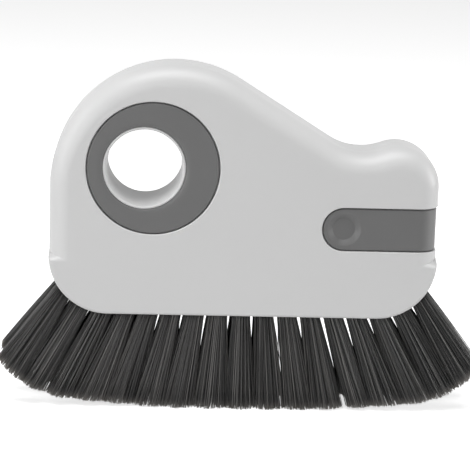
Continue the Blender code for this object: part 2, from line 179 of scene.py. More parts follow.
def turned(
    name: str, centre: Vector, side: Side, profile: Turning, steps: int = ROUND_STEPS
) -> bpy.types.Object:
    """Extrudes and resizes a filled circle along the Y axis through centre, as on a lathe.

    Args:
        name: The new object's name.
        centre: The axis's place (x, z).
        side: The half of the brush that the depths run into.
        profile: (radius, depth) pairs from base to crown.
        steps: The points round each ring.

    Returns:
        The closed object, at the origin, with its place in its mesh.
    """
    deselect_all()
    radius, depth = profile[0]
    base = (centre.x, side.value * depth, centre.y)
    upright = (math.pi / 2, 0.0, 0.0)
    bpy.ops.mesh.primitive_circle_add(
        vertices=steps, radius=radius, fill_type="NGON", location=base, rotation=upright
    )
    obj = bpy.context.object
    obj.name = obj.data.name = name
    bpy.ops.object.mode_set(mode="EDIT")
    bpy.ops.mesh.select_all(action="SELECT")
    for (low_radius, low), (high_radius, high) in zip(profile, profile[1:]):
        travel = (0.0, side.value * (high - low), 0.0)
        bpy.ops.mesh.extrude_region_move(TRANSFORM_OT_translate={"value": travel})
        middle = (centre.x, side.value * high, centre.y)
        bpy.ops.transform.resize(value=(high_radius / low_radius,) * 3, center_override=middle)
    close_up(obj)
    return obj


def block_out(name: str, side: Side, along: Span, deep: Span, up: Span) -> bpy.types.Object:
    """Fills the space between these bounds with a plain block.

    Args:
        name: The new object's name.
        side: The half of the brush that the depths run into.
        along: Where it starts and ends, from left to right.
        deep: The depths that it starts and ends at.
        up: The levels of its underside and its top.

    Returns:
        The block, at the origin, with its place in its mesh.
    """
    deselect_all()
    spans = (along, sorted(side.value * depth for depth in deep), up)
    size = [high - low for low, high in spans]
    middle = [(low + high) / 2 for low, high in spans]
    bpy.ops.mesh.primitive_cube_add(size=1.0, location=middle, scale=size)
    obj = bpy.context.object
    obj.name = name
    bpy.ops.object.transform_apply(location=True, rotation=True, scale=True)
    return obj


def carve(
    obj: bpy.types.Object, *cutters: bpy.types.Object, how: Carving = Carving.TAKE_AWAY
) -> None:
    """Applies a Boolean for each cutter in turn, and removes the cutters.

    Args:
        obj: The piece to change.
        cutters: The objects to change it with.
        how: What they do to it.
    """
    for cutter in cutters:
        make_active(obj)
        modifier = obj.modifiers.new("carve", "BOOLEAN")
        modifier.operation = how.value
        modifier.solver = "EXACT"
        modifier.object = cutter
        bpy.ops.object.modifier_apply(modifier=modifier.name)
        bpy.data.objects.remove(cutter)


def round_edges(
    obj: bpy.types.Object, chosen: Callable[[Vector], bool], width: float, segments: int = 3
) -> int:
    """Rounds the edges whose two ends both pass a test.

    Args:
        obj: The object to round.
        chosen: Says of a point whether it lies on an edge to round.
        width: The rounding's width in metres.
        segments: The strips across the rounding.

    Returns:
        The number of edges rounded.
    """
    make_active(obj)
    bpy.ops.object.mode_set(mode="EDIT")
    bpy.ops.mesh.select_mode(type="EDGE")
    bpy.ops.mesh.select_all(action="DESELECT")
    mesh = bmesh.from_edit_mesh(obj.data)
    picked = [
        edge for edge in mesh.edges
        if edge.calc_face_angle(0.0) > SMOOTH_ANGLE and all(chosen(end.co) for end in edge.verts)
    ]
    for edge in picked:
        edge.select_set(True)
    bmesh.update_edit_mesh(obj.data)
    bpy.ops.mesh.bevel(
        offset=width, segments=segments, affect="EDGES", clamp_overlap=False, loop_slide=False
    )
    bpy.ops.mesh.select_mode(type="VERT")
    bpy.ops.object.mode_set(mode="OBJECT")
    return len(picked)


def shade(obj: bpy.types.Object) -> None:
    """Shades a moulded piece smooth over its roundings, and keeps its flat faces flat.

    Args:
        obj: The piece.
    """
    make_active(obj)
    bpy.ops.object.shade_smooth_by_angle(angle=SMOOTH_ANGLE)
    modifier = obj.modifiers.new("flats", "WEIGHTED_NORMAL")
    modifier.keep_sharp = True
    modifier.weight = FLAT_FACE_WEIGHT
    bpy.ops.object.modifier_apply(modifier=modifier.name)
    deselect_all()


def ray(degrees: float) -> Vector:
    """The unit vector at this angle in the plane of the front face, as (x, z)."""
    return Vector((math.cos(math.radians(degrees)), math.sin(math.radians(degrees))))


def rounded_rim(radius: float, top: float, across: float, deep: float, steps: int) -> Turning:
    """The quarter round between a turned wall and the top that it meets.

    Args:
        radius: The wall's radius.
        top: The depth of the top.
        across: How far the rounding leads outwards, or inwards where negative.
        deep: How far below the top it starts.
        steps: The strips across it.

    Returns:
        (radius, depth) pairs from the wall to the top.
    """
    turns = [math.pi / 2 * i / steps for i in range(steps + 1)]
    return [(radius + across * (1 - math.cos(t)), top - deep * (1 - math.sin(t))) for t in turns]


def lift(outline: list[Vector], side: Side, depth: float) -> Ring:
    """Places (x, z) points at a depth out from the parting plane."""
    return [Vector((p.x, side.value * depth, p.y)) for p in outline]


# Finishes


def linear(colour: str) -> tuple[float, float, float, float]:
    """Turns an sRGB hex colour to the linear values that a shader takes."""
    channels = [int(colour[i:i + 2], 16) / 255 for i in (1, 3, 5)]
    return (*[c / 12.92 if c <= 0.04045 else ((c + 0.055) / 1.055) ** 2.4 for c in channels], 1.0)


def add_node(
    tree: bpy.types.NodeTree, kind: str, settings: dict | None = None, links: dict | None = None
) -> bpy.types.Node:
    """Adds a node with its settings and links.

    Args:
        tree: The node tree of a material or the world.
        kind: The node's type, such as ShaderNodeTexNoise.
        settings: Values by the name of a property, or by the name or number of an input.
        links: The output that feeds each input, by the input's name or number.

    Returns:
        The node.
    """
    node = tree.nodes.new(kind)
    for name, value in (settings or {}).items():
        if isinstance(name, str) and name.islower():
            setattr(node, name, value)
        else:
            node.inputs[name].default_value = value
    for name, source in (links or {}).items():
        tree.links.new(source, node.inputs[name])
    return node


def start_material(
    name: str, sockets: dict[str, float]
) -> tuple[bpy.types.Material, bpy.types.NodeTree, bpy.types.Node]:
    """Makes a material whose shader has these plain values.

    Args:
        name: The material's name.
        sockets: Values for the shader's own sockets.

    Returns:
        The material, its node tree and its shader.
    """
    material = bpy.data.materials.new(name)
    material.use_nodes = True
    shader = material.node_tree.nodes["Principled BSDF"]
    for socket, value in sockets.items():
        shader.inputs[socket].default_value = value
    return material, material.node_tree, shader


@dataclass(frozen=True)
class MouldedSkin:
    """Plastic or rubber from an eroded mould: two close colours in faint clouds, and a grain."""

    name: str
    colour: str
    cloud: str
    roughness: float
    cloud_mm: float
    grain_mm: float
    grain_depth_mm: float
    ior: float = 1.5
    gloss_spread: float = 0.04
    cloud_detail: float = 2.0
    grain_detail: float = 3.0
    sheen: float = 0.0

    def material(self) -> bpy.types.Material:
        """Builds the finish: the clouds colour it, and the grain dents it and varies its gloss.

        Returns:
            The material.
        """
        plain = {"Roughness": self.roughness, "IOR": self.ior, "Sheen Weight": self.sheen}
        material, tree, shader = start_material(self.name, plain)
        place = add_node(tree, "ShaderNodeTexCoord").outputs["Object"]
        flow = {"Scale": 1 / (self.cloud_mm * MM), "Detail": self.cloud_detail}
        cloud = add_node(tree, "ShaderNodeTexNoise", flow, {"Vector": place})
        colours = {"data_type": "RGBA", MIX_LOW: linear(self.colour), MIX_HIGH: linear(self.cloud)}
        blend = add_node(tree, "ShaderNodeMix", colours, {MIX_FACTOR: cloud.outputs["Fac"]})
        # The real grain is 0.05 to 0.08 mm, and is drawn coarser so that it shows
        eroded = {"Scale": 1 / (self.grain_mm * MM), "Detail": self.grain_detail}
        grain = add_node(tree, "ShaderNodeTexNoise", eroded, {"Vector": place})
        if self.gloss_spread:
            low, high = self.roughness - self.gloss_spread, self.roughness + self.gloss_spread
            gloss = {"To Min": low, "To Max": high}
            spread = add_node(tree, "ShaderNodeMapRange", gloss, {"Value": grain.outputs["Fac"]})
            tree.links.new(spread.outputs["Result"], shader.inputs["Roughness"])
        depth = {"Distance": self.grain_depth_mm * MM}
        bump = add_node(tree, "ShaderNodeBump", depth, {"Height": grain.outputs["Fac"]})
        tree.links.new(blend.outputs[MIX_RESULT], shader.inputs["Base Color"])
        tree.links.new(bump.outputs["Normal"], shader.inputs["Normal"])
        return material


@dataclass(frozen=True)
class DrawnNylon:
    """Nylon drawn to filament and dyed in the melt: near black, glossy, paler where it is cut.

    The tone varies at random between filaments, and the lightest few are painted highlight streaks;
    the pale cut ends are partly a painted highlight on the tips.
    """

    name: str = "drawn_nylon_filament"
    dark: str = "#0C0C0C"
    # The lightest tone, which paints highlight streaks onto the few lightest filaments
    light: str = "#73716F"
    # The cut ends' paler colour: partly the cut itself, partly a painted highlight on the tips
    cut_tip: str = "#7A756F"
    roughness: float = 0.36
    ior: float = 1.53
    tip_share: float = 0.93
    cut_strength: float = 0.7

    def material(self) -> bpy.types.Material:
        """Builds the finish from each filament's own tone and the distance along it.

        Returns:
            The material.
        """
        plain = {"Roughness": self.roughness, "IOR": self.ior}
        material, tree, shader = start_material(self.name, plain)
        tone = add_node(tree, "ShaderNodeAttribute", {"attribute_name": "tone"}).outputs["Fac"]
        along = add_node(tree, "ShaderNodeAttribute", {"attribute_name": "along"}).outputs["Fac"]
        # Filaments vary at random between the two tones, and the lightest few stand in as painted
        # highlight streaks
        dyes_and_highlights = {"data_type": "RGBA", MIX_LOW: linear(self.dark), MIX_HIGH: linear(self.light)}
        dye_and_highlight = add_node(tree, "ShaderNodeMix", dyes_and_highlights, {MIX_FACTOR: tone})
        # The last share of each filament fades to the pale cut colour, partly a painted tip
        # highlight
        fade = {"From Min": self.tip_share, "To Max": self.cut_strength}
        tip = add_node(tree, "ShaderNodeMapRange", fade, {"Value": along})
        cut = {"data_type": "RGBA", MIX_HIGH: linear(self.cut_tip)}
        mixed = {MIX_FACTOR: tip.outputs["Result"], MIX_LOW: dye_and_highlight.outputs[MIX_RESULT]}
        blend = add_node(tree, "ShaderNodeMix", cut, mixed)
        tree.links.new(blend.outputs[MIX_RESULT], shader.inputs["Base Color"])
        return material


# Spark-eroded ABS is milky and even, with a satin highlight
SATIN_ABS = MouldedSkin("satin_moulded_abs", "#CBCBCB", "#C9C9C9", 0.42, 30.0, 0.35, 0.008, 1.53)
# Polypropylene is a little waxier and cooler than the shells
BLOCK_PP = MouldedSkin("waxy_moulded_polypropylene", "#C6C7C7", "#C1C2C3", 0.5, 12.0, 0.4, 0.01)
# Thermoplastic rubber is a dull grey with a soft, dusty sheen and faint clouds from handling
SOFT_RUBBER = MouldedSkin(
    "soft_touch_rubber", "#515151", "#565656", 0.5, 9.0, 0.28, 0.012, 1.6,
    gloss_spread=0.0, cloud_detail=4.0, grain_detail=2.0, sheen=0.3,
)


# The sizes that the pieces share


@dataclass(frozen=True)
class Moulding:
    """Walls and clearances of the moulded pieces."""

    wall: float = 0.0022
    clearance: float = 0.0003
    floor: float = 0.002
    backing: float = 0.0016
    overcut: float = 0.002


@dataclass
class BodyProfile:
    """The outline that both shells and the block share, seen from the front."""

    left: float
    right: float
    underside: float
    top: float
    face: float
    arch_radius: float = 0.0403
    slope_angle: float = 31.7
    saddle_radius: float = 0.0193
    knob_radius: float = 0.0133
    knob_height: float = 0.0565
    corner_radius: float = 0.0193
    edge_radius: float = 0.0067
    crisp_radius: float = 0.001
    shelf_height: float = 0.0186
    shelf_slant: float = 0.24
    shelf_edge_radius: float = 0.0014
    step_degrees: float = 3.0
    fewest_steps: int = 3
    edge_steps: int = 12
    rise_steps: int = 3
    moulding: Moulding = field(default_factory=Moulding)

    @classmethod
    def of_frame(cls) -> "BodyProfile":
        """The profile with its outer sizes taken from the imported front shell."""
        low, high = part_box("front_shell")
        return cls(left=low.x, right=high.x, underside=low.z, top=high.z, face=-low.y)

    def arc(
        self, centre: Vector, radius: float, start: float, stop: float, outside: int = 1
    ) -> Outline:
        """Points with their outward normals along an arc.

        Args:
            centre: The arc's centre (x, z).
            radius: Its radius.
            start: The angle that it starts at, in degrees.
            stop: The angle that it ends at.
            outside: -1 where the body lies outside the circle.

        Returns:
            (point, normal) pairs.
        """
        steps = max(self.fewest_steps, round(abs(stop - start) / self.step_degrees))
        rays = [ray(start + (stop - start) * i / steps) for i in range(steps + 1)]
        return [(centre + radius * r, outside * r) for r in rays]

    def upper_outline(self) -> Outline:
        """The arch, the slope, the saddle and the knob, from the left side to the right.

        Each arc meets the next at a tangent, so the saddle's centre follows from the other two.

        Returns:
            (point, normal) pairs.
        """
        arch = Vector((self.left + self.arch_radius, self.top - self.arch_radius))
        knob_level = self.underside + self.knob_height - self.knob_radius
        knob = Vector((self.right - self.knob_radius, knob_level))
        line = 90 - self.slope_angle
        normal = ray(line)
        along = Vector((normal.y, -normal.x))
        start = arch + (self.arch_radius + self.saddle_radius) * normal
        to_knob = knob - start
        reach = self.saddle_radius + self.knob_radius
        travel = to_knob.dot(along) - math.sqrt(reach**2 - to_knob.dot(normal) ** 2)
        saddle = start + travel * along
        back = saddle - knob
        meeting = math.degrees(math.atan2(back.y, back.x))
        outline = self.arc(arch, self.arch_radius, 180, line)
        outline += self.arc(saddle, self.saddle_radius, line + 180, meeting + 180, outside=-1)[:-1]
        return outline + self.arc(knob, self.knob_radius, meeting, 0)

    def corner(self, crisp_below: float) -> Outline:
        """The lower left corner, from the underside up to an angle below level.

        Args:
            crisp_below: The angle, in degrees.

        Returns:
            (point, normal) pairs, as many at any angle.
        """
        centre = Vector((self.left + self.corner_radius, self.underside + self.corner_radius))
        steps = round(90 / self.step_degrees)
        rays = [ray(-90 - (90 - crisp_below) * i / steps) for i in range(steps + 1)]
        return [(centre + self.corner_radius * r, r) for r in rays]

    def mirrored(self, pairs: Outline) -> Outline:
        """The same pairs on the right of the body, in the opposite order."""
        flip = Vector((-1.0, 1.0))
        return [(point * flip, normal * flip) for point, normal in reversed(pairs)]

    def below_level(self, height: float, drawn: float) -> float:
        """The angle below level at which a corner's arc, once drawn in, has this height."""
        return math.degrees(math.asin((self.corner_radius - height) / (self.corner_radius - drawn)))

    def side_point(self, height: float, drawn: float) -> tuple[Vector, Vector]:
        """The pair on the left side whose place, once drawn in, has this height.

        Args:
            height: The height above the underside.
            drawn: How far the outline is drawn in.

        Returns:
            The point before it is drawn in, and its normal.
        """
        if height >= self.corner_radius:
            return Vector((self.left, self.underside + height)), Vector((-1.0, 0.0))
        normal = ray(180 + self.below_level(height, drawn))
        centre = Vector((self.left + self.corner_radius, self.underside + self.corner_radius))
        return centre + self.corner_radius * normal, normal

    def shelf_level(self, below: float, inset: float) -> float:
        """The shelf's height at a depth below the face, with its front edge rounded off.

        Args:
            below: The depth below the face.
            inset: How far the half lies below the body's surface.

        Returns:
            The height above the underside.
        """
        edge = max(self.shelf_edge_radius - inset, 0.0)
        short = edge - min(below, edge)
        rounded_off = edge - math.sqrt(edge**2 - short**2)
        return self.shelf_height - inset + self.shelf_slant * below - rounded_off

    def ring(
        self, side: Side, turn: float, inset: float = 0.0, tuck: float = 0.0,
        depth: float | None = None,
    ) -> Ring:
        """One ring of a half body: the outline drawn in by the edge rounding.

        The shelf where the rounding runs out is a plane that slants up from the face, so each ring
        crosses it at its own height. Below it the edge is crisp.

        Args:
            side: The half that the ring belongs to.
            turn: How far round the rounding it lies, from 0 at the side to a quarter at the face.
            inset: How far the whole half lies below the body's surface.
            tuck: A further draw-in of this ring alone.
            depth: The ring's depth, where it isn't on the rounding.

        Returns:
            The ring's points.
        """
        least = self.moulding.clearance
        radii = [max(radius - inset, least) for radius in (self.crisp_radius, self.edge_radius)]
        drawn = [inset + radius * (1 - math.cos(turn)) for radius in radii]
        below = [radius * (1 - math.sin(turn)) for radius in radii]
        crisp_top, rounded_low = [self.shelf_level(reach, inset) for reach in below]
        corner = self.corner(self.below_level(crisp_top, drawn[0]))
        climb = (self.shelf_height + self.edge_radius - rounded_low) / self.rise_steps
        heights = [rounded_low + climb * i for i in range(self.rise_steps + 1)]
        rise = [self.side_point(height, drawn[1]) for height in heights]
        over_top = rise + self.upper_outline() + self.mirrored(rise)
        points = []
        for stretch, kind in ((corner, 0), (over_top, 1), (self.mirrored(corner), 0)):
            level = self.face - inset - below[kind] if depth is None else depth
            pulled = drawn[kind] + tuck
            points += lift([p - pulled * n for p, n in stretch], side, level)
        return points

    def half(
        self, name: str, side: Side, start: float, inset: float = 0.0, tuck: float = 0.0
    ) -> bpy.types.Object:
        """Half of the body from depth start to its rounded face.

        Args:
            name: The new object's name.
            side: Which half.
            start: The depth of its parting face.
            inset: How far it lies below the body's surface.
            tuck: The small bevel of its parting edge.

        Returns:
            The closed half.
        """
        rings = [self.ring(side, 0.0, inset, tuck, start)]
        if tuck:
            rings.append(self.ring(side, 0.0, inset, 0.0, start + tuck))
        turns = [math.pi / 2 * i / self.edge_steps for i in range(self.edge_steps + 1)]
        rings += [self.ring(side, turn, inset) for turn in turns]
        return drawn_out(name, rings)

    def end_contour(self, inset: float, start_x: float) -> list[Vector]:
        """The narrow end cut across at strap height, from front to rear.

        Args:
            inset: How far the contour lies below the skin.
            start_x: Where it begins and ends on the two faces.

        Returns:
            (x, y) points.
        """
        radius = self.edge_radius - inset
        turns = [90 * i / self.edge_steps for i in range(self.edge_steps + 1)]
        points = [Vector((start_x, -(self.face - inset)))]
        for sign, first in ((-1, -90), (1, 0)):
            centre = Vector((self.right - self.edge_radius, sign * (self.face - self.edge_radius)))
            points += [centre + radius * ray(first + turn) for turn in turns]
        points.append(Vector((start_x, self.face - inset)))
        return points

    def below_skin(self, point: Vector) -> float:
        """How far a point at strap height lies below the body's surface.

        Args:
            point: The point.

        Returns:
            The distance, which is negative outside the body.
        """
        across = max(0.0, point.x - (self.right - self.edge_radius))
        deep = max(0.0, abs(point.y) - (self.face - self.edge_radius))
        return self.edge_radius - math.hypot(across, deep)


@dataclass(frozen=True)
class FingerHole:
    """The hole through the grip, narrowest at the parting plane, with a thin standing lip."""

    centre: Vector
    from_left: float = 0.0305
    above_underside: float = 0.0485
    lip_radius: float = 0.0134
    waist_radius: float = 0.0120
    lip_wall: float = 0.0009
    lip_drop: float = 0.0006
    lip_roll: float = 0.00044
    lip_foot: float = 0.006
    roll_steps: int = 4

    @classmethod
    def of_body(cls, profile: BodyProfile) -> "FingerHole":
        """The hole at its place in the body."""
        return cls(Vector((profile.left + cls.from_left, profile.underside + cls.above_underside)))

    def cutter(self, side: Side, profile: BodyProfile) -> bpy.types.Object:
        """What the hole takes out of one shell, with the inner half of the lip's rounded top.

        Args:
            side: The shell.
            profile: The body's outline.

        Returns:
            The cutter.
        """
        over = profile.moulding.overcut
        top = profile.face - self.lip_drop
        bore = self.lip_radius - self.lip_wall
        slope = (bore - self.waist_radius) / top
        roll = self.lip_roll
        stations = [(self.waist_radius - slope * over, -over), (self.waist_radius, 0.0)]
        stations += rounded_rim(bore, top, roll, roll, self.roll_steps)
        stations.append((bore + roll, top + over))
        return turned(f"{side.word}_hole_cutter", self.centre, side, stations)

    def lip_guard(self, side: Side, profile: BodyProfile) -> bpy.types.Object:
        """What the ring's seat spares round the hole, with the outer half of the lip's rounded top.

        Args:
            side: The shell.
            profile: The body's outline.

        Returns:
            The solid to spare.
        """
        top, roll = profile.face - self.lip_drop, self.lip_roll
        stations = [(self.lip_radius, top - self.lip_foot)]
        stations += rounded_rim(self.lip_radius, top, -roll, roll, self.roll_steps)
        return turned(f"{side.word}_lip_guard", self.centre, side, stations)


# The pieces


@dataclass
class SoftRing:
    """A soft ring let into a face, off centre round the finger hole, with a rolled inner edge."""

    profile: BodyProfile
    hole: FingerHole
    radius: float = 0.0213
    offset: float = 0.0028
    thickness: float = 0.0018
    sink: float = 0.0002
    roll_width: float = 0.0024
    roll_drop: float = 0.0006
    lip_gap: float = 0.00006
    slack: float = 0.0001
    edge_radius: float = 0.0004
    seat_edge: float = 0.0004
    edge_steps: int = 4
    roll_steps: int = 8

    @property
    def centre(self) -> Vector:
        """The centre of the ring's outer circle."""
        return self.hole.centre + Vector((self.offset, 0.0))

    @property
    def seat_depth(self) -> float:
        """How deep the ring's seat lies below the face."""
        return self.sink + self.thickness + self.profile.moulding.clearance

    def build(self, side: Side) -> bpy.types.Object:
        """Turns the ring and bores it with the roll that leads a finger in.

        Args:
            side: The face that the ring lies in.

        Returns:
            The ring.
        """
        surface = self.profile.face - self.sink
        floor = surface - self.thickness
        rim, edge = self.radius - self.slack, self.edge_radius
        stations = [(rim, floor)] + rounded_rim(rim, surface, -edge, edge, self.edge_steps)
        ring = turned(f"{side.word}_soft_ring", self.centre, side, stations, WIDE_ROUND_STEPS)
        moulding = self.profile.moulding
        bore = self.hole.lip_radius + self.lip_gap
        rolled = [(bore, floor - moulding.overcut)]
        rolled += rounded_rim(bore, surface, self.roll_width, self.roll_drop, self.roll_steps)
        rolled.append((bore + self.roll_width, surface + moulding.overcut))
        carve(ring, turned("bore", self.hole.centre, side, rolled))
        shade(ring)
        return ring

    def seat(self, side: Side) -> bpy.types.Object:
        """The seat that a shell has for the ring, leaving the hole's lip standing in it.

        Args:
            side: The shell.

        Returns:
            The cutter.
        """
        moulding, face = self.profile.moulding, self.profile.face
        radius = self.radius + moulding.clearance
        walls = [(radius, face - self.seat_depth), (radius, face + moulding.overcut)]
        seat = turned(f"{side.word}_ring_seat", self.centre, side, walls, WIDE_ROUND_STEPS)
        carve(seat, self.hole.lip_guard(side, self.profile))
        return seat

    def on_seat_rim(self, point: Vector) -> bool:
        """Whether a point lies on the rim of the seat, where the face begins.

        Args:
            point: The point.

        Returns:
            True where it does.
        """
        reach = (Vector((point.x, point.z)) - self.centre).length
        radius = self.radius + self.profile.moulding.clearance
        return abs(abs(point.y) - self.profile.face) < NEAR and abs(reach - radius) < NEAR


@dataclass
class GripStrap:
    """A soft band that wraps the narrow end, with a finger dimple and a stud on each arm."""

    profile: BodyProfile
    width: float = 0.0138
    dimple_from_end: float = 0.0308
    above_underside: float = 0.0298
    thickness: float = 0.0018
    sink: float = 0.0004
    edge_radius: float = 0.0004
    slack: float = 0.00005
    seat_edge: float = 0.00025
    dimple_radius: float = 0.0056
    dimple_floor_radius: float = 0.0036
    dimple_depth: float = 0.0012
    dimple_roll: float = 1.3
    dimple_steps: int = 12
    dimple_round_steps: int = 72
    dimple_run_out: float = 1.2
    stud_radius: float = 0.0026
    stud_length: float = 0.0034
    round_steps: int = 40
    seam_reach: float = 0.001

    @property
    def centre(self) -> Vector:
        """The centre of the dimple and of the band's rounded end."""
        level = self.profile.underside + self.above_underside
        return Vector((self.profile.right - self.dimple_from_end, level))

    @property
    def seat_depth(self) -> float:
        """How deep the strap's seat lies below the skin."""
        return self.sink + self.thickness + self.profile.moulding.clearance

    def window(self, grow: float) -> bpy.types.Object:
        """The band's outline from the front, open past the narrow end, as a block through the body.

        Args:
            grow: How far the outline lies outside the band's own.

        Returns:
            The block.
        """
        half, over = self.width / 2 + grow, self.profile.moulding.overcut
        turns = [90 + 180 * i / self.round_steps for i in range(self.round_steps + 1)]
        rounded = [self.centre + half * ray(turn) for turn in turns]
        beyond, level = self.profile.right + 2 * over, self.centre.y
        outline = rounded + [Vector((beyond, level - half)), Vector((beyond, level + half))]
        deep = self.profile.face + 2 * over
        return drawn_out("window", [lift(outline, Side.REAR, depth) for depth in (-deep, deep)])

    def band(self, outer: float, inner: float) -> bpy.types.Object:
        """A U-shaped band that follows the rounded end between two distances below the skin.

        Args:
            outer: The distance of its outer surface.
            inner: The distance of its inner surface.

        Returns:
            The band, wider than the strap.
        """
        start, contour = self.centre.x - self.width, self.profile.end_contour
        around = contour(outer, start) + contour(inner, start)[::-1]
        levels = [self.centre.y + sign * self.width for sign in (-1, 1)]
        return drawn_out("grip_band", [[Vector((p.x, p.y, z)) for p in around] for z in levels])

    def seat(self, grow: float, depth: float) -> bpy.types.Object:
        """What a shell's surface leaves free for the strap.

        Args:
            grow: How far the seat reaches outside the band's outline.
            depth: How deep it lies below the skin.

        Returns:
            The cutter.
        """
        seat = self.band(-self.profile.moulding.overcut, depth)
        carve(seat, self.window(grow), how=Carving.KEEP_INSIDE)
        return seat

    def on_rim(self, point: Vector, half: float, sink: float) -> bool:
        """Whether a point lies on the band's outline, this far below the skin.

        Args:
            point: The point.
            half: Half the width of the outline.
            sink: The depth below the skin.

        Returns:
            True where it does.
        """
        if abs(self.profile.below_skin(point) - sink) > NEAR:
            return False
        if point.x > self.centre.x:
            return abs(abs(point.z - self.centre.y) - half) < NEAR
        return abs((Vector((point.x, point.z)) - self.centre).length - half) < NEAR

    def on_seat_rim(self, point: Vector) -> bool:
        """Whether a point lies on the rim of the strap's seat, clear of the parting plane."""
        half = self.width / 2 + self.profile.moulding.clearance
        return abs(point.y) > self.seam_reach and self.on_rim(point, half, 0.0)

    def dimple(self, side: Side) -> bpy.types.Object:
        """What the dimple takes out: a flat floor with steep walls that roll out to the rim.

        Args:
            side: The face that the dimple lies in.

        Returns:
            The cutter.
        """
        surface = self.profile.face - self.sink
        span = self.dimple_radius - self.dimple_floor_radius
        stations = [(self.dimple_floor_radius / 2, surface - self.dimple_depth)]
        for i in range(self.dimple_steps):
            share = i / self.dimple_steps
            drop = self.dimple_depth * (1 - share) ** self.dimple_roll
            stations.append((self.dimple_floor_radius + span * share, surface - drop))
        stations.append((self.dimple_radius * self.dimple_run_out, surface + self.sink))
        return turned(f"{side.word}_dimple", self.centre, side, stations, self.dimple_round_steps)

    def build(self) -> bpy.types.Object:
        """Bends the band, trims it to its outline, rounds its rim and sinks its dimples.

        Returns:
            The strap with its two studs.
        """
        strap = self.band(self.sink, self.sink + self.thickness)
        strap.name = strap.data.name = "soft_grip_strap"
        carve(strap, self.window(-self.slack), how=Carving.KEEP_INSIDE)
        half = self.width / 2 - self.slack
        round_edges(strap, lambda point: self.on_rim(point, half, self.sink), self.edge_radius)
        surface = self.profile.face - self.sink
        inner, radius = surface - self.thickness, self.stud_radius
        shank = [(radius, inner + self.thickness / 3), (radius, inner - self.stud_length)]
        for side in Side:
            carve(strap, self.dimple(side))
            stud = turned("stud", self.centre, side, shank, SMALL_ROUND_STEPS)
            carve(strap, stud, how=Carving.ADD)
        shade(strap)
        return strap


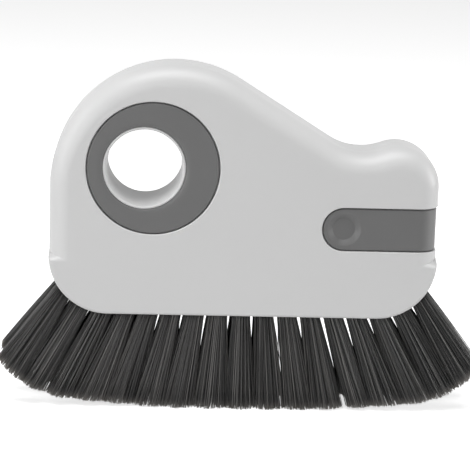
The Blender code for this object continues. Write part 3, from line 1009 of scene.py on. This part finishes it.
@dataclass
class HandShell:
    """One moulded half of the body, hollow, with its seats, bosses, pegs and sockets."""

    profile: BodyProfile
    hole: FingerHole
    ring: SoftRing
    strap: GripStrap
    block_height: float = 0.015
    rail_height: float = 0.0018
    rail_depth: float = 0.0010
    rail_above_underside: float = 0.0098
    peg_radius: float = 0.0020
    peg_length: float = 0.0050
    boss_wall: float = 0.0015
    parting_edge: float = 0.00015
    parting_gap: float = 0.00002
    pegs: tuple[tuple[float, float], ...] = (
        (0.0131, 0.0260), (0.0611, 0.0610), (-0.0191, 0.0440), (-0.0511, 0.0240), (-0.0131, 0.0205),
    )

    @property
    def block_top(self) -> float:
        """The level of the bristle block's top."""
        return self.profile.underside + self.block_height

    def peg_centres(self) -> list[Vector]:
        """The pegs' axes as (x, z): from the left end, or from the right end where negative."""
        ends, base = {True: self.profile.left, False: self.profile.right}, self.profile.underside
        return [Vector((ends[x > 0] + x, base + height)) for x, height in self.pegs]

    def full_width(self, near: float, far: float, top: float, side: Side) -> bpy.types.Object:
        """A cutting block over the body's whole length.

        Args:
            near: The depth that it starts at.
            far: The depth that it ends at.
            top: The level that it reaches up to.
            side: The half that the depths run into.

        Returns:
            The block.
        """
        profile, over = self.profile, self.profile.moulding.overcut
        along, up = (profile.left - over, profile.right + over), (profile.underside - over, top)
        return block_out("width_cutter", side, along, (near, far), up)

    def hollow(self, side: Side) -> bpy.types.Object:
        """The space inside a shell: the body less its wall, floor, hole tube, backings and bosses.

        Args:
            side: The shell.

        Returns:
            The cutter.
        """
        profile, moulding = self.profile, self.profile.moulding
        over, face = moulding.overcut, self.profile.face
        core = profile.half(f"{side.word}_hollow", side, -over, moulding.wall)
        floor_top = self.block_top + moulding.clearance + moulding.floor
        carve(core, self.full_width(-2 * over, face, floor_top, side))
        tube = self.hole.lip_radius + moulding.wall
        carve(core, turned("tube", self.hole.centre, side, [(tube, -2 * over), (tube, face)]))
        around = self.ring.radius + moulding.wall
        behind = face - self.ring.seat_depth - moulding.backing
        backing = [(around, behind), (around, face)]
        carve(core, turned("ring_backing", self.ring.centre, side, backing))
        carve(core, self.strap.seat(moulding.wall, self.strap.seat_depth + moulding.backing))
        boss = self.peg_radius + moulding.clearance + self.boss_wall
        post = [(boss, -2 * over), (boss, face)]
        for centre in self.peg_centres():
            carve(core, turned("boss", centre, side, post, SMALL_ROUND_STEPS))
        return core

    def fastenings(self, shell: bpy.types.Object, side: Side) -> None:
        """Adds the front shell's pegs or the rear shell's sockets, and the strap's stud hole.

        Args:
            shell: The shell to work on.
            side: Which shell it is.
        """
        moulding, face = self.profile.moulding, self.profile.face
        radius, length, tip = self.peg_radius, self.peg_length, self.peg_radius / 2
        peg = [(radius, moulding.wall), (radius, tip - length), (tip, -length)]
        bore = radius + moulding.clearance
        socket = [(bore, -moulding.overcut), (bore, length + moulding.clearance)]
        for centre in self.peg_centres():
            if side is Side.FRONT:
                carve(shell, turned("peg", centre, side, peg, SMALL_ROUND_STEPS), how=Carving.ADD)
            else:
                carve(shell, turned("socket", centre, side, socket, SMALL_ROUND_STEPS))
        stud = self.strap.stud_radius + moulding.clearance
        behind = face - self.strap.seat_depth - moulding.backing - moulding.overcut
        bored = [(stud, behind), (stud, face)]
        carve(shell, turned("stud_hole", self.strap.centre, side, bored, SMALL_ROUND_STEPS))

    def build(self, side: Side) -> bpy.types.Object:
        """Moulds one half: outside, hollow, block pocket, rail, seats, hole and fastenings.

        Args:
            side: Which half.

        Returns:
            The shell.
        """
        profile, moulding = self.profile, self.profile.moulding
        name, start = f"{side.word}_hand_shell", self.parting_gap / 2
        shell = profile.half(name, side, start, tuck=self.parting_edge)
        carve(shell, self.hollow(side))
        inner, pocket_top = profile.face - moulding.wall, self.block_top + moulding.clearance
        carve(shell, self.full_width(-moulding.overcut, inner, pocket_top, side))
        flat = profile.right - profile.corner_radius
        low = profile.underside + self.rail_above_underside
        deep = (inner - self.rail_depth, inner + moulding.wall / 2)
        up = (low, low + self.rail_height)
        carve(shell, block_out("rail", side, (-flat, flat), deep, up), how=Carving.ADD)
        carve(shell, self.ring.seat(side), self.hole.cutter(side, profile))
        carve(shell, self.strap.seat(moulding.clearance, self.strap.seat_depth))
        self.fastenings(shell, side)
        ring_edges = round_edges(shell, self.ring.on_seat_rim, self.ring.seat_edge)
        strap_edges = round_edges(shell, self.strap.on_seat_rim, self.strap.seat_edge)
        LOG.info("%s: rounded %d edges of seats", shell.name, ring_edges + strap_edges)
        shade(shell)
        return shell


@dataclass(frozen=True)
class Lock:
    """Filaments of a tuft that cling together: where they root, how they stray and their tone."""

    middle: Vector
    stray: Vector
    tone: float


@dataclass
class BristleTufts:
    """Two rows of tufts that fan out of the block and round its corners."""

    profile: BodyProfile
    per_row: int = 17
    length: float = 0.033
    row_end_turn: float = 48.1
    fan_angle: float = 33.6
    tuft_radius: float = 0.0028
    hole_depth: float = 0.006
    row_spacing: float = 0.0104
    row_tilt: float = 3.0
    filaments: int = 240
    filament_radius: float = 0.00016
    tip_radius: float = 0.00012
    root_reach: float = 0.0028
    root_depth: float = 0.003
    crowding: float = 0.44
    splay_along_row: float = 2.0
    end_splay: float = 0.3
    splay_across_row: float = 1.45
    splay_spread: float = 0.1
    flare: float = 0.9
    lean: float = 0.0007
    locks: int = 13
    gather: float = 0.16
    lock_stray: float = 0.0002
    stray: float = 0.0002
    bow: float = 0.0001
    trim_spread: float = 0.0001
    trim_points: int = 8
    trim_stride: float = 0.035
    lock_wander: float = 25.0
    place_wander: float = 9.0
    lock_tone: float = 0.15
    tone_power: float = 4.0
    joints: int = 5
    corners: int = 4

    def row_place(self, distance: float) -> Vector:
        """Walks along the block's lower surface, flat in the middle and round at both corners.

        Args:
            distance: How far to walk from the middle, to the left where negative.

        Returns:
            The point (x, z).
        """
        profile = self.profile
        flat = profile.right - profile.corner_radius
        turn = max(0.0, abs(distance) - flat) / profile.corner_radius
        x = min(abs(distance), flat) + profile.corner_radius * math.sin(turn)
        z = profile.underside + profile.corner_radius * (1 - math.cos(turn))
        return Vector((math.copysign(x, distance), z))

    def axis(self, share: float, tilt: float = 0.0) -> tuple[Vector, Vector]:
        """A tuft's root on the block's surface and its heading, before it moves to its row.

        Args:
            share: The tuft's place in its row, from -1 at the left end to 1 at the right.
            tilt: How far the heading turns to the rear for each unit along.

        Returns:
            The root and the heading.
        """
        round_end = 1 - math.radians(self.row_end_turn)
        half_row = self.profile.right - self.profile.corner_radius * round_end
        point = self.row_place(half_row * share)
        fan = math.radians(self.fan_angle * share)
        heading = Vector((math.sin(fan), tilt, -math.cos(fan))).normalized()
        return Vector((point.x, 0.0, point.y)), heading

    def share(self, number: int) -> float:
        """A tuft's place in its row, from -1 to 1."""
        return 2 * number / (self.per_row - 1) - 1

    def seat(self, side: Side, number: int) -> Matrix:
        """A tuft's place: its origin on the block's surface, and +Z out along the bristles.

        Args:
            side: The row.
            number: The tuft's number in its row, from 0 at the left end.

        Returns:
            The placement.
        """
        tilt = side.value * math.tan(math.radians(self.row_tilt))
        root, out = self.axis(self.share(number), tilt)
        across = Vector((0.0, 1.0, 0.0)).cross(out).normalized()
        rotation = Matrix((across, out.cross(across), out)).transposed().to_4x4()
        to_row = Vector((0.0, side.value * self.row_spacing / 2, 0.0))
        return Matrix.Translation(root + to_row) @ rotation

    def seats(self) -> dict[str, tuple[Matrix, float]]:
        """Places every tuft.

        Returns:
            Each tuft's placement and its share of the row, by its node.
        """
        return {
            f"tuft_{side.word}_{number + 1:02d}": (self.seat(side, number), self.share(number))
            for side in Side for number in range(self.per_row)
        }

    def trim(self, seat: Matrix, share: float) -> Callable[[float], float]:
        """How the shears cut a tuft, along the smooth line through all tufts' tips.

        Args:
            seat: The tuft's placement.
            share: Its share of the row.

        Returns:
            The filament's length as a function of how far its tip lies along the row.
        """
        to_tuft = seat.inverted()
        line = []
        for step in range(-self.trim_points, self.trim_points + 1):
            root, out = self.axis(share + step * self.trim_stride)
            root.y = seat.translation.y
            local = to_tuft @ (root + self.length * out)
            line.append((local.x, local.z))
        line.sort()

        def cut(along_row: float) -> float:
            """Reads the line at this distance from the tuft's axis.

            Args:
                along_row: The distance.

            Returns:
                The length.
            """
            for (near, low), (far, high) in zip(line, line[1:]):
                if along_row <= far:
                    break
            return low + (high - low) * (along_row - near) / (far - near)

        return cut

    def filament(self) -> bpy.types.Object:
        """Draws one filament along +Z, with unit radius and length, that tapers to its tip.

        Returns:
            The filament, to be copied.
        """
        deselect_all()
        bpy.ops.mesh.primitive_circle_add(vertices=self.corners, radius=1.0, fill_type="NGON")
        obj = bpy.context.object
        obj.name = "filament"
        bpy.ops.object.mode_set(mode="EDIT")
        bpy.ops.mesh.select_all(action="SELECT")
        taper = (self.tip_radius / self.filament_radius) ** (1 / self.joints)
        step = {"value": (0.0, 0.0, 1 / self.joints)}
        for _ in range(self.joints):
            bpy.ops.mesh.extrude_region_move(TRANSFORM_OT_translate=step)
            bpy.ops.transform.resize(value=(taper, taper, 1.0))
        close_up(obj)
        return obj

    def part_locks(self, chance: random.Random) -> list[Lock]:
        """Parts a tuft into the locks that its filaments cling together in.

        Args:
            chance: The tuft's own random numbers.

        Returns:
            The locks.
        """
        locks = []
        for index in range(self.locks):
            reach = math.sqrt((index + 0.5) / self.locks)
            wander = chance.uniform(-self.lock_wander, self.lock_wander)
            middle = reach * ray(GOLDEN_ANGLE * index + wander)
            stray = Vector((chance.gauss(0.0, self.lock_stray), chance.gauss(0.0, self.lock_stray)))
            locks.append(Lock(middle, stray, chance.random()))
        return locks

    def build(
        self, node: str, seat: Matrix, share: float, pattern: bpy.types.Object
    ) -> bpy.types.Object:
        """Copies the filament along its own course for each place in the tuft.

        Args:
            node: The tuft's node.
            seat: Its placement.
            share: Its share of the row.
            pattern: The one modelled filament.

        Returns:
            The tuft, whose points carry their filament's tone and their share of its length.
        """
        chance = random.Random(node)
        cut = self.trim(seat, share)
        spread = 1 + chance.gauss(0.0, self.splay_spread)
        # The end tufts have a free side and spread further
        at_end, along_row = abs(share) >= 1, self.splay_along_row
        along_row = along_row + self.end_splay if at_end else along_row * spread
        splay = Vector((along_row - 1, self.splay_across_row - 1))
        lean = Vector((chance.gauss(0.0, self.lean), 0.0))
        locks = self.part_locks(chance)
        corners = [vertex.co.copy() for vertex in pattern.data.vertices]
        faces = [tuple(polygon.vertices) for polygon in pattern.data.polygons]
        low, high = CAD_BOUNDS
        margin = self.filament_radius
        points, made, tones, along = [], [], [], []
        for index in range(self.filaments):
            wander = chance.uniform(-self.place_wander, self.place_wander)
            reach = ((index + 0.5) / self.filaments) ** self.crowding
            place = reach * ray(GOLDEN_ANGLE * index + wander)
            lock = min(locks, key=lambda lock: (lock.middle - place).length)
            root = self.root_reach * place
            stray = Vector((chance.gauss(0.0, self.stray), chance.gauss(0.0, self.stray)))
            gathered = self.gather * self.root_reach * (lock.middle - place)
            drift = lean + lock.stray + stray + gathered
            bow = Vector((chance.gauss(0.0, self.bow), chance.gauss(0.0, self.bow)))
            tip = root + root * splay + drift
            length = cut(tip.x) - abs(chance.gauss(0.0, self.trim_spread))
            turn = Matrix.Rotation(chance.uniform(0, math.pi / 2), 2)
            # The tone varies at random, and the few light filaments it makes are painted highlight
            # streaks
            own_tone = chance.random() ** self.tone_power
            tone = self.lock_tone * lock.tone + (1 - self.lock_tone) * own_tone
            end = seat @ Vector((tip.x, tip.y, length))
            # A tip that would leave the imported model's box is pulled back inside it
            box = zip(end, low, high)
            held = Vector([min(max(at, near + margin), far - margin) for at, near, far in box])
            pull = seat.to_3x3().transposed() @ (held - end)
            base = len(points)
            for corner in corners:
                height = corner.z * (length + self.root_depth) - self.root_depth
                out = max(0.0, height / length)
                offset = root + root * splay * out**self.flare
                offset += drift * out + bow * math.sin(math.pi * out)
                spoke = self.filament_radius * (turn @ corner.xy)
                local = Vector((offset.x + spoke.x, offset.y + spoke.y, height))
                points.append(seat @ (local + pull * out))
                tones.append(tone)
                along.append(corner.z)
            made += [tuple(base + i for i in face) for face in faces]
        data = bpy.data.meshes.new(node + "_filaments")
        data.from_pydata(points, [], made)
        for name, values in (("tone", tones), ("along", along)):
            data.attributes.new(name, "FLOAT", "POINT").data.foreach_set("value", values)
        data.shade_smooth()
        tuft = bpy.data.objects.new(node + "_filaments", data)
        bpy.context.scene.collection.objects.link(tuft)
        return tuft


@dataclass
class BristleBlock:
    """The curved block between the shells, drilled for the tufts and grooved for the rails."""

    shell: HandShell
    tufts: BristleTufts
    drill_steps: int = 24

    def drills(self) -> bpy.types.Object:
        """All the tuft holes as one cutter: one drill, copied to every tuft's place.

        Returns:
            The cutter.
        """
        moulding = self.shell.profile.moulding
        radius = self.tufts.tuft_radius + moulding.clearance
        depth = self.tufts.hole_depth + moulding.clearance + moulding.overcut
        deselect_all()
        middle = (0.0, 0.0, moulding.overcut - depth / 2)
        bpy.ops.mesh.primitive_cylinder_add(
            vertices=self.drill_steps, radius=radius, depth=depth, location=middle
        )
        drill = bpy.context.object
        bpy.ops.object.transform_apply(location=True, rotation=True, scale=True)
        copies = []
        for seat, _ in self.tufts.seats().values():
            copy = drill.copy()
            copy.data = drill.data.copy()
            copy.data.transform(seat)
            bpy.context.scene.collection.objects.link(copy)
            copies.append(copy)
        bpy.data.objects.remove(drill)
        make_active(copies[0])
        for copy in copies:
            copy.select_set(True)
        bpy.ops.object.join()
        return copies[0]

    def build(self) -> bpy.types.Object:
        """Cuts the block from the body's outline, then grooves and drills it.

        Returns:
            The block.
        """
        profile, shell = self.shell.profile, self.shell
        moulding = profile.moulding
        half = profile.face - moulding.wall - moulding.clearance
        corner = profile.corner(0.0)
        around = corner + profile.upper_outline() + profile.mirrored(corner)
        outline = [point for point, _ in around]
        rings = [lift(outline, Side.REAR, depth) for depth in (-half, half)]
        block = drawn_out("drilled_block", rings)
        lower = shell.full_width(-profile.face, profile.face, shell.block_top, Side.REAR)
        carve(block, lower, how=Carving.KEEP_INSIDE)
        low = profile.underside + shell.rail_above_underside - moulding.clearance
        up = (low, low + shell.rail_height + 2 * moulding.clearance)
        along = (profile.left - moulding.overcut, profile.right + moulding.overcut)
        deep = (profile.face - moulding.wall - shell.rail_depth - moulding.clearance, profile.face)
        for side in Side:
            carve(block, block_out("groove", side, along, deep, up))
        carve(block, self.drills())
        shade(block)
        return block


# The studio


@dataclass(frozen=True)
class Lamp:
    """A rectangular soft light that faces the brush."""

    name: str
    place: tuple[float, float, float]
    size: tuple[float, float]
    watts: float


@dataclass
class Studio:
    """A pale floor, soft light and the camera of the portrait."""

    target: Vector = field(default_factory=lambda: Vector((0.0, 0.0, 0.0725)))
    azimuth: float = -2.12
    elevation: float = 13.05
    roll: float = 1.67
    distance: float = 0.6463
    aim: tuple[float, float] = (-0.002505, -0.015254)
    focal_px: float = 1971.9
    image_px: int = 470
    sensor_mm: float = 36.0
    nearest: float = 0.01
    floor_radius: float = 6.0
    ambient: float = 0.08
    floor_colour: str = "#E6E6E6"
    floor_lift: float = 0.7
    lamps: tuple[Lamp, ...] = (
        Lamp("overhead", (-0.08, -0.25, 1.05), (0.9, 0.65), 9.0),
        Lamp("left_box", (-1.05, -0.35, 0.40), (0.6, 0.8), 5.0),
        Lamp("right_box", (1.05, -0.12, 0.20), (0.6, 0.4), 5.5),
        Lamp("low_fill", (-0.60, -0.90, 0.12), (0.6, 0.4), 3.0),
    )

    def camera(self) -> None:
        """Sets up the camera at the portrait's viewing angle."""
        around, above, roll = (math.radians(a) for a in (self.azimuth, self.elevation, self.roll))
        level = math.cos(above)
        back = Vector((math.sin(around) * level, -math.cos(around) * level, math.sin(above)))
        right = Vector((math.cos(around), math.sin(around), 0.0))
        up = back.cross(right)
        place = self.target + self.distance * back + self.aim[0] * right + self.aim[1] * up
        rolled_right = math.cos(roll) * right + math.sin(roll) * up
        rolled_up = math.cos(roll) * up - math.sin(roll) * right
        data = bpy.data.cameras.new("portrait_camera")
        data.sensor_width = self.sensor_mm
        data.lens = self.focal_px * self.sensor_mm / self.image_px
        data.clip_start = self.nearest
        camera = bpy.data.objects.new("portrait_camera", data)
        facing = Matrix((rolled_right, rolled_up, back)).transposed().to_4x4()
        camera.matrix_world = Matrix.Translation(place) @ facing
        bpy.context.scene.collection.objects.link(camera)
        bpy.context.scene.camera = camera

    def seen(self, tree: bpy.types.NodeTree) -> bpy.types.NodeSocket:
        """Tells rays that show the background itself: seen, mirrored or seen through.

        Args:
            tree: The node tree of the floor's material or the world.

        Returns:
            An output that is 1 for such a ray and 0 for any other.
        """
        path = add_node(tree, "ShaderNodeLightPath")
        shown = path.outputs["Is Camera Ray"]
        for ray_kind in ("Is Glossy Ray", "Is Transmission Ray"):
            both = {0: shown, 1: path.outputs[ray_kind]}
            shown = add_node(tree, "ShaderNodeMath", {"operation": "MAXIMUM"}, both).outputs[0]
        return shown

    def world(self) -> None:
        """Sets a white background over a faint, even room light."""
        world = bpy.data.worlds.new("white_room")
        world.use_nodes = True
        tree = world.node_tree
        tree.nodes.clear()
        room = add_node(tree, "ShaderNodeBackground", {"Color": WHITE, "Strength": self.ambient})
        white = add_node(tree, "ShaderNodeBackground", {"Color": WHITE, "Strength": 1.0})
        shaders = {0: self.seen(tree), 1: room.outputs[0], 2: white.outputs[0]}
        mix = add_node(tree, "ShaderNodeMixShader", links=shaders)
        add_node(tree, "ShaderNodeOutputWorld", links={"Surface": mix.outputs[0]})
        bpy.context.scene.world = world

    def floor(self) -> None:
        """Lays a pale matt floor that looks white and keeps the brush's faint shadow."""
        deselect_all()
        bpy.ops.mesh.primitive_circle_add(
            vertices=ROUND_STEPS, radius=self.floor_radius, fill_type="NGON"
        )
        floor = bpy.context.object
        floor.name = "studio_floor"
        material = bpy.data.materials.new("matt_white_floor")
        material.use_nodes = True
        tree = material.node_tree
        tree.nodes.clear()
        paint = add_node(tree, "ShaderNodeBsdfDiffuse", {"Color": linear(self.floor_colour)})
        lifting = {"operation": "MULTIPLY", 1: self.floor_lift}
        lift_by = add_node(tree, "ShaderNodeMath", lifting, {0: self.seen(tree)}).outputs[0]
        glow = add_node(tree, "ShaderNodeEmission", {"Color": WHITE}, {"Strength": lift_by})
        shaders = {0: paint.outputs[0], 1: glow.outputs[0]}
        both = add_node(tree, "ShaderNodeAddShader", links=shaders)
        add_node(tree, "ShaderNodeOutputMaterial", links={"Surface": both.outputs[0]})
        floor.data.materials.append(material)

    def light(self) -> None:
        """Hangs the soft lights, each facing the brush and itself out of sight."""
        for lamp in self.lamps:
            data = bpy.data.lights.new(lamp.name, "AREA")
            data.shape = "RECTANGLE"
            data.size, data.size_y = lamp.size
            data.energy = lamp.watts
            obj = bpy.data.objects.new(lamp.name, data)
            place = Vector(lamp.place)
            facing = (place - self.target).to_track_quat("Z", "Y").to_matrix().to_4x4()
            obj.matrix_world = Matrix.Translation(place) @ facing
            obj.visible_camera = False
            bpy.context.scene.collection.objects.link(obj)

    def build(self) -> None:
        """Builds the whole studio."""
        self.camera()
        self.world()
        self.floor()
        self.light()
        bpy.context.scene.view_settings.view_transform = "Standard"


def seat_piece(piece: bpy.types.Object, node: str, material: bpy.types.Material) -> None:
    """Dresses a piece, puts it in its node's place and reports it.

    Args:
        piece: The finished piece.
        node: The CAD node that it stands for.
        material: Its finish.
    """
    piece.data.materials.clear()
    piece.data.materials.append(material)
    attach(piece, BODY)
    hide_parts(node)
    LOG.info("%s stands for %s with %d faces", piece.name, node, len(piece.data.polygons))


def main() -> None:
    """Builds the brush piece by piece, then the studio round it."""
    logging.basicConfig(level=logging.INFO, format="%(name)s: %(message)s")
    finishes = (SATIN_ABS, SOFT_RUBBER, DrawnNylon(), BLOCK_PP)
    abs_skin, rubber, nylon, waxy = (finish.material() for finish in finishes)
    profile = BodyProfile.of_frame()
    hole = FingerHole.of_body(profile)
    ring = SoftRing(profile, hole)
    strap = GripStrap(profile)
    shell = HandShell(profile, hole, ring, strap)
    tufts = BristleTufts(profile)
    for side in Side:
        seat_piece(shell.build(side), f"{side.word}_shell", abs_skin)
        seat_piece(ring.build(side), f"{side.word}_ring", rubber)
    seat_piece(strap.build(), "grip_strap", rubber)
    seat_piece(BristleBlock(shell, tufts).build(), "bristle_block", waxy)
    filament = tufts.filament()
    for node, (seat, share) in tufts.seats().items():
        seat_piece(tufts.build(node, seat, share, filament), node, nylon)
    bpy.data.objects.remove(filament)
    Studio().build()


if __name__ == "__main__":
    main()
